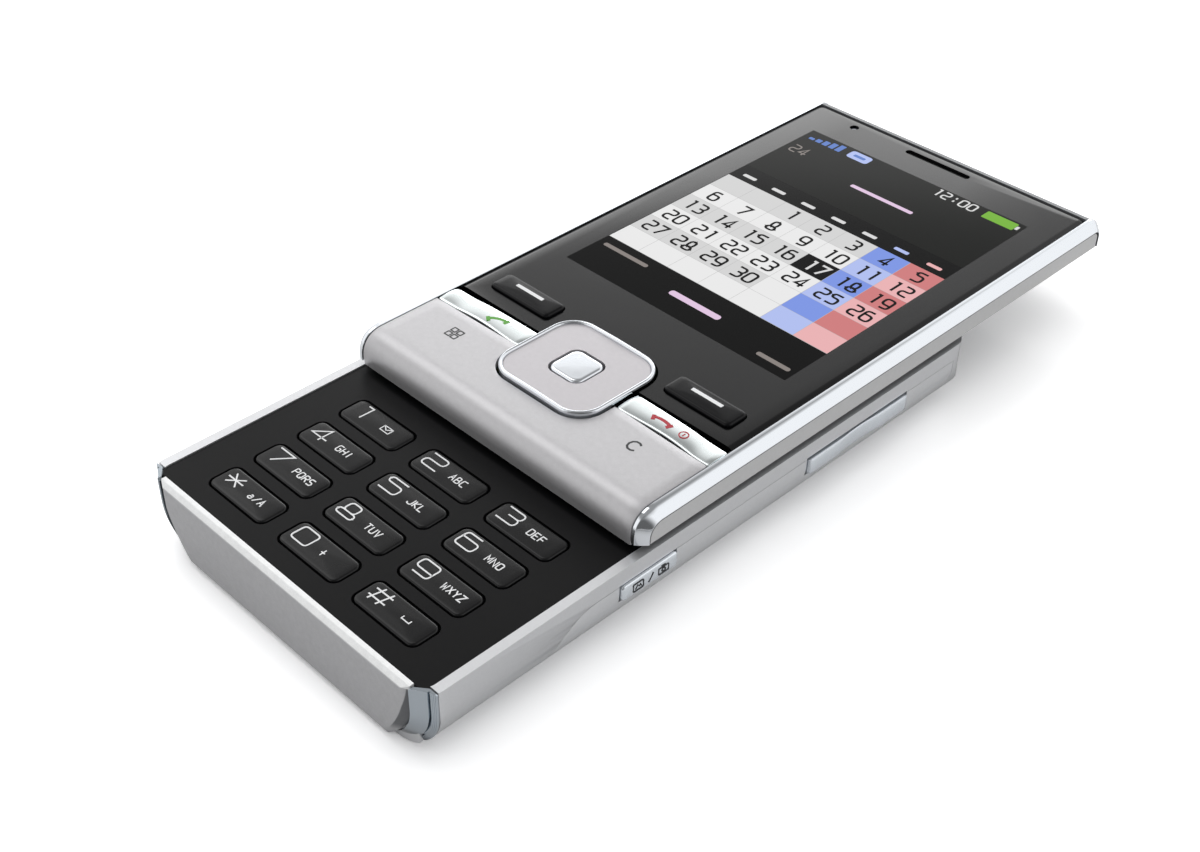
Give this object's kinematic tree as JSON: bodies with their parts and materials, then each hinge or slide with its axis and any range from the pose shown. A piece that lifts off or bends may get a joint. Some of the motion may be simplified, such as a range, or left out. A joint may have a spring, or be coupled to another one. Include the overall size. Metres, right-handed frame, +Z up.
{
  "type": "slider mobile phone",
  "caption": "Slider mobile phone, open: a display half with a navigation key slides over a numeric keypad half with a lift-off battery cover.",
  "frame": {"origin": "middle of the lower half's flat underside, on the surface it rests on", "axes": "+X to the phone's right side, +Y from the keypad to the earpiece, +Z up out of the display"},
  "size_m": [0.0485, 0.1161, 0.0154],
  "materials": {
    "silver_body": "satin silver paint",
    "silver_cover": "satin silver paint",
    "black_plate": "black satin",
    "grey_chin": "grained satin grey",
    "chrome_trim": "polished",
    "chrome_keys": "polished",
    "key_black": "satin gloss with white legends",
    "silver_keys": "bright silver",
    "panel_silver": "fine grained satin",
    "plate_grey": "satin",
    "frame_grey": "satin",
    "window": "glossy, smoked border",
    "display": "lit picture",
    "battery_wrap": "printed wrap",
    "board": "solder resist",
    "steel": "stamped steel",
    "spring_steel": "spring wire",
    "screws": "dark plated",
    "dome_sheet": "film over metal domes",
    "silicone": "soft",
    "flex_amber": "polyimide",
    "dark_plastic": "moulded",
    "optics": "coated lens in a black barrel",
    "light_lens": "diffuse lens",
    "motor": "plated can"
  },
  "bodies": {
    "lower_half": {"base_frame": "silver_body", "key_plate": "black_plate", "chin_cap": "grey_chin", "corner_trim_left": "chrome_trim", "corner_trim_right": "chrome_trim", "battery": "battery_wrap", "main_board": "board", "shield_cans": "steel", "keypad_domes": "dome_sheet", "keypad_mat": "silicone", "side_switches": "flex_amber", "rear_camera": "optics", "photo_light": "light_lens", "sounder": "dark_plastic", "antenna": "dark_plastic", "sim_holder": "steel", "card_slot": "steel", "system_connector": "dark_plastic", "vibration_motor": "motor", "chassis_screws": "screws", "slide_rail_plate": "steel", "slide_springs": "spring_steel", "flex_cable": "flex_amber"},
    "upper_half": {"slide_runner": "steel", "runner_screws": "screws", "upper_frame": "frame_grey", "display_window": "window", "display_module": "display", "side_rail_left": "chrome_trim", "side_rail_right": "chrome_trim", "side_plate_left": "plate_grey", "side_plate_right": "plate_grey", "panel_board": "board", "earpiece": "dark_plastic", "call_camera": "optics"},
    "battery_cover": {"battery_cover": "silver_cover"},
    "camera_key": {"camera_key": "silver_keys"},
    "volume_rocker": {"volume_rocker": "silver_keys"},
    "front_panel": {"front_panel": "panel_silver"},
    "call_key": {"call_key": "chrome_keys"},
    "end_key": {"end_key": "chrome_keys"},
    "soft_key_left": {"soft_key_left": "key_black"},
    "soft_key_right": {"soft_key_right": "key_black"},
    "nav_gimbal": {"nav_gimbal": "steel"},
    "nav_pad": {"nav_pad": "panel_silver", "nav_ring": "chrome_trim"},
    "select_key": {"select_key": "chrome_keys"},
    "key_1": {"key_1": "key_black"},
    "key_2": {"key_2": "key_black"},
    "key_3": {"key_3": "key_black"},
    "key_4": {"key_4": "key_black"},
    "key_5": {"key_5": "key_black"},
    "key_6": {"key_6": "key_black"},
    "key_7": {"key_7": "key_black"},
    "key_8": {"key_8": "key_black"},
    "key_9": {"key_9": "key_black"},
    "key_star": {"key_star": "key_black"},
    "key_0": {"key_0": "key_black"},
    "key_hash": {"key_hash": "key_black"}
  },
  "joints": [
    {"name": "slide", "type": "slide", "parent": "lower_half", "child": "upper_half", "axis": [0, -1, 0], "range_m": [0, 0.0293], "deforming": ["slide_springs", "flex_cable"]},
    {"name": "cover_lift_off", "type": "slide", "parent": "lower_half", "child": "battery_cover", "axis": [0, 0, -1], "range_m": [0, 0.02]},
    {"name": "key_1_press", "type": "slide", "parent": "lower_half", "child": "key_1", "axis": [0, 0, -1], "range_m": [0, 0.00025], "stiffness_N_per_m": 900},
    {"name": "key_2_press", "type": "slide", "parent": "lower_half", "child": "key_2", "axis": [0, 0, -1], "range_m": [0, 0.00025], "stiffness_N_per_m": 900},
    {"name": "key_3_press", "type": "slide", "parent": "lower_half", "child": "key_3", "axis": [0, 0, -1], "range_m": [0, 0.00025], "stiffness_N_per_m": 900},
    {"name": "key_4_press", "type": "slide", "parent": "lower_half", "child": "key_4", "axis": [0, 0, -1], "range_m": [0, 0.00025], "stiffness_N_per_m": 900},
    {"name": "key_5_press", "type": "slide", "parent": "lower_half", "child": "key_5", "axis": [0, 0, -1], "range_m": [0, 0.00025], "stiffness_N_per_m": 900},
    {"name": "key_6_press", "type": "slide", "parent": "lower_half", "child": "key_6", "axis": [0, 0, -1], "range_m": [0, 0.00025], "stiffness_N_per_m": 900},
    {"name": "key_7_press", "type": "slide", "parent": "lower_half", "child": "key_7", "axis": [0, 0, -1], "range_m": [0, 0.00025], "stiffness_N_per_m": 900},
    {"name": "key_8_press", "type": "slide", "parent": "lower_half", "child": "key_8", "axis": [0, 0, -1], "range_m": [0, 0.00025], "stiffness_N_per_m": 900},
    {"name": "key_9_press", "type": "slide", "parent": "lower_half", "child": "key_9", "axis": [0, 0, -1], "range_m": [0, 0.00025], "stiffness_N_per_m": 900},
    {"name": "key_star_press", "type": "slide", "parent": "lower_half", "child": "key_star", "axis": [0, 0, -1], "range_m": [0, 0.00025], "stiffness_N_per_m": 900},
    {"name": "key_0_press", "type": "slide", "parent": "lower_half", "child": "key_0", "axis": [0, 0, -1], "range_m": [0, 0.00025], "stiffness_N_per_m": 900},
    {"name": "key_hash_press", "type": "slide", "parent": "lower_half", "child": "key_hash", "axis": [0, 0, -1], "range_m": [0, 0.00025], "stiffness_N_per_m": 900},
    {"name": "camera_key_press", "type": "slide", "parent": "lower_half", "child": "camera_key", "axis": [-1, 0, 0], "range_m": [0, 0.00035], "stiffness_N_per_m": 900},
    {"name": "volume_rock", "type": "hinge", "parent": "lower_half", "child": "volume_rocker", "pos_m": [0.0216, 0.022, 0.007], "axis": [0, 0, 1], "range_deg": [-1.2, 1.2], "stiffness_Nm_per_rad": 0.03},
    {"name": "panel_rock", "type": "hinge", "parent": "upper_half", "child": "front_panel", "pos_m": [0, -0.0105, 0.0119], "axis": [0, 1, 0], "range_deg": [-0.8, 0.8], "stiffness_Nm_per_rad": 0.15},
    {"name": "call_key_press", "type": "slide", "parent": "upper_half", "child": "call_key", "axis": [0, 0, -1], "range_m": [0, 0.00025], "stiffness_N_per_m": 900},
    {"name": "end_key_press", "type": "slide", "parent": "upper_half", "child": "end_key", "axis": [0, 0, -1], "range_m": [0, 0.00025], "stiffness_N_per_m": 900},
    {"name": "soft_key_left_press", "type": "slide", "parent": "upper_half", "child": "soft_key_left", "axis": [0, 0, -1], "range_m": [0, 0.00025], "stiffness_N_per_m": 900},
    {"name": "soft_key_right_press", "type": "slide", "parent": "upper_half", "child": "soft_key_right", "axis": [0, 0, -1], "range_m": [0, 0.00025], "stiffness_N_per_m": 900},
    {"name": "nav_tilt_across", "type": "hinge", "parent": "upper_half", "child": "nav_gimbal", "pos_m": [0, -0.00045, 0.01235], "axis": [1, 0, 0], "range_deg": [-1.8, 1.8], "stiffness_Nm_per_rad": 0.03},
    {"name": "nav_tilt_along", "type": "hinge", "parent": "nav_gimbal", "child": "nav_pad", "pos_m": [0, -0.00045, 0.01235], "axis": [0, 1, 0], "range_deg": [-1.8, 1.8], "stiffness_Nm_per_rad": 0.03},
    {"name": "select_press", "type": "slide", "parent": "nav_pad", "child": "select_key", "axis": [0, 0, -1], "range_m": [0, 0.00025], "stiffness_N_per_m": 900}
  ]
}
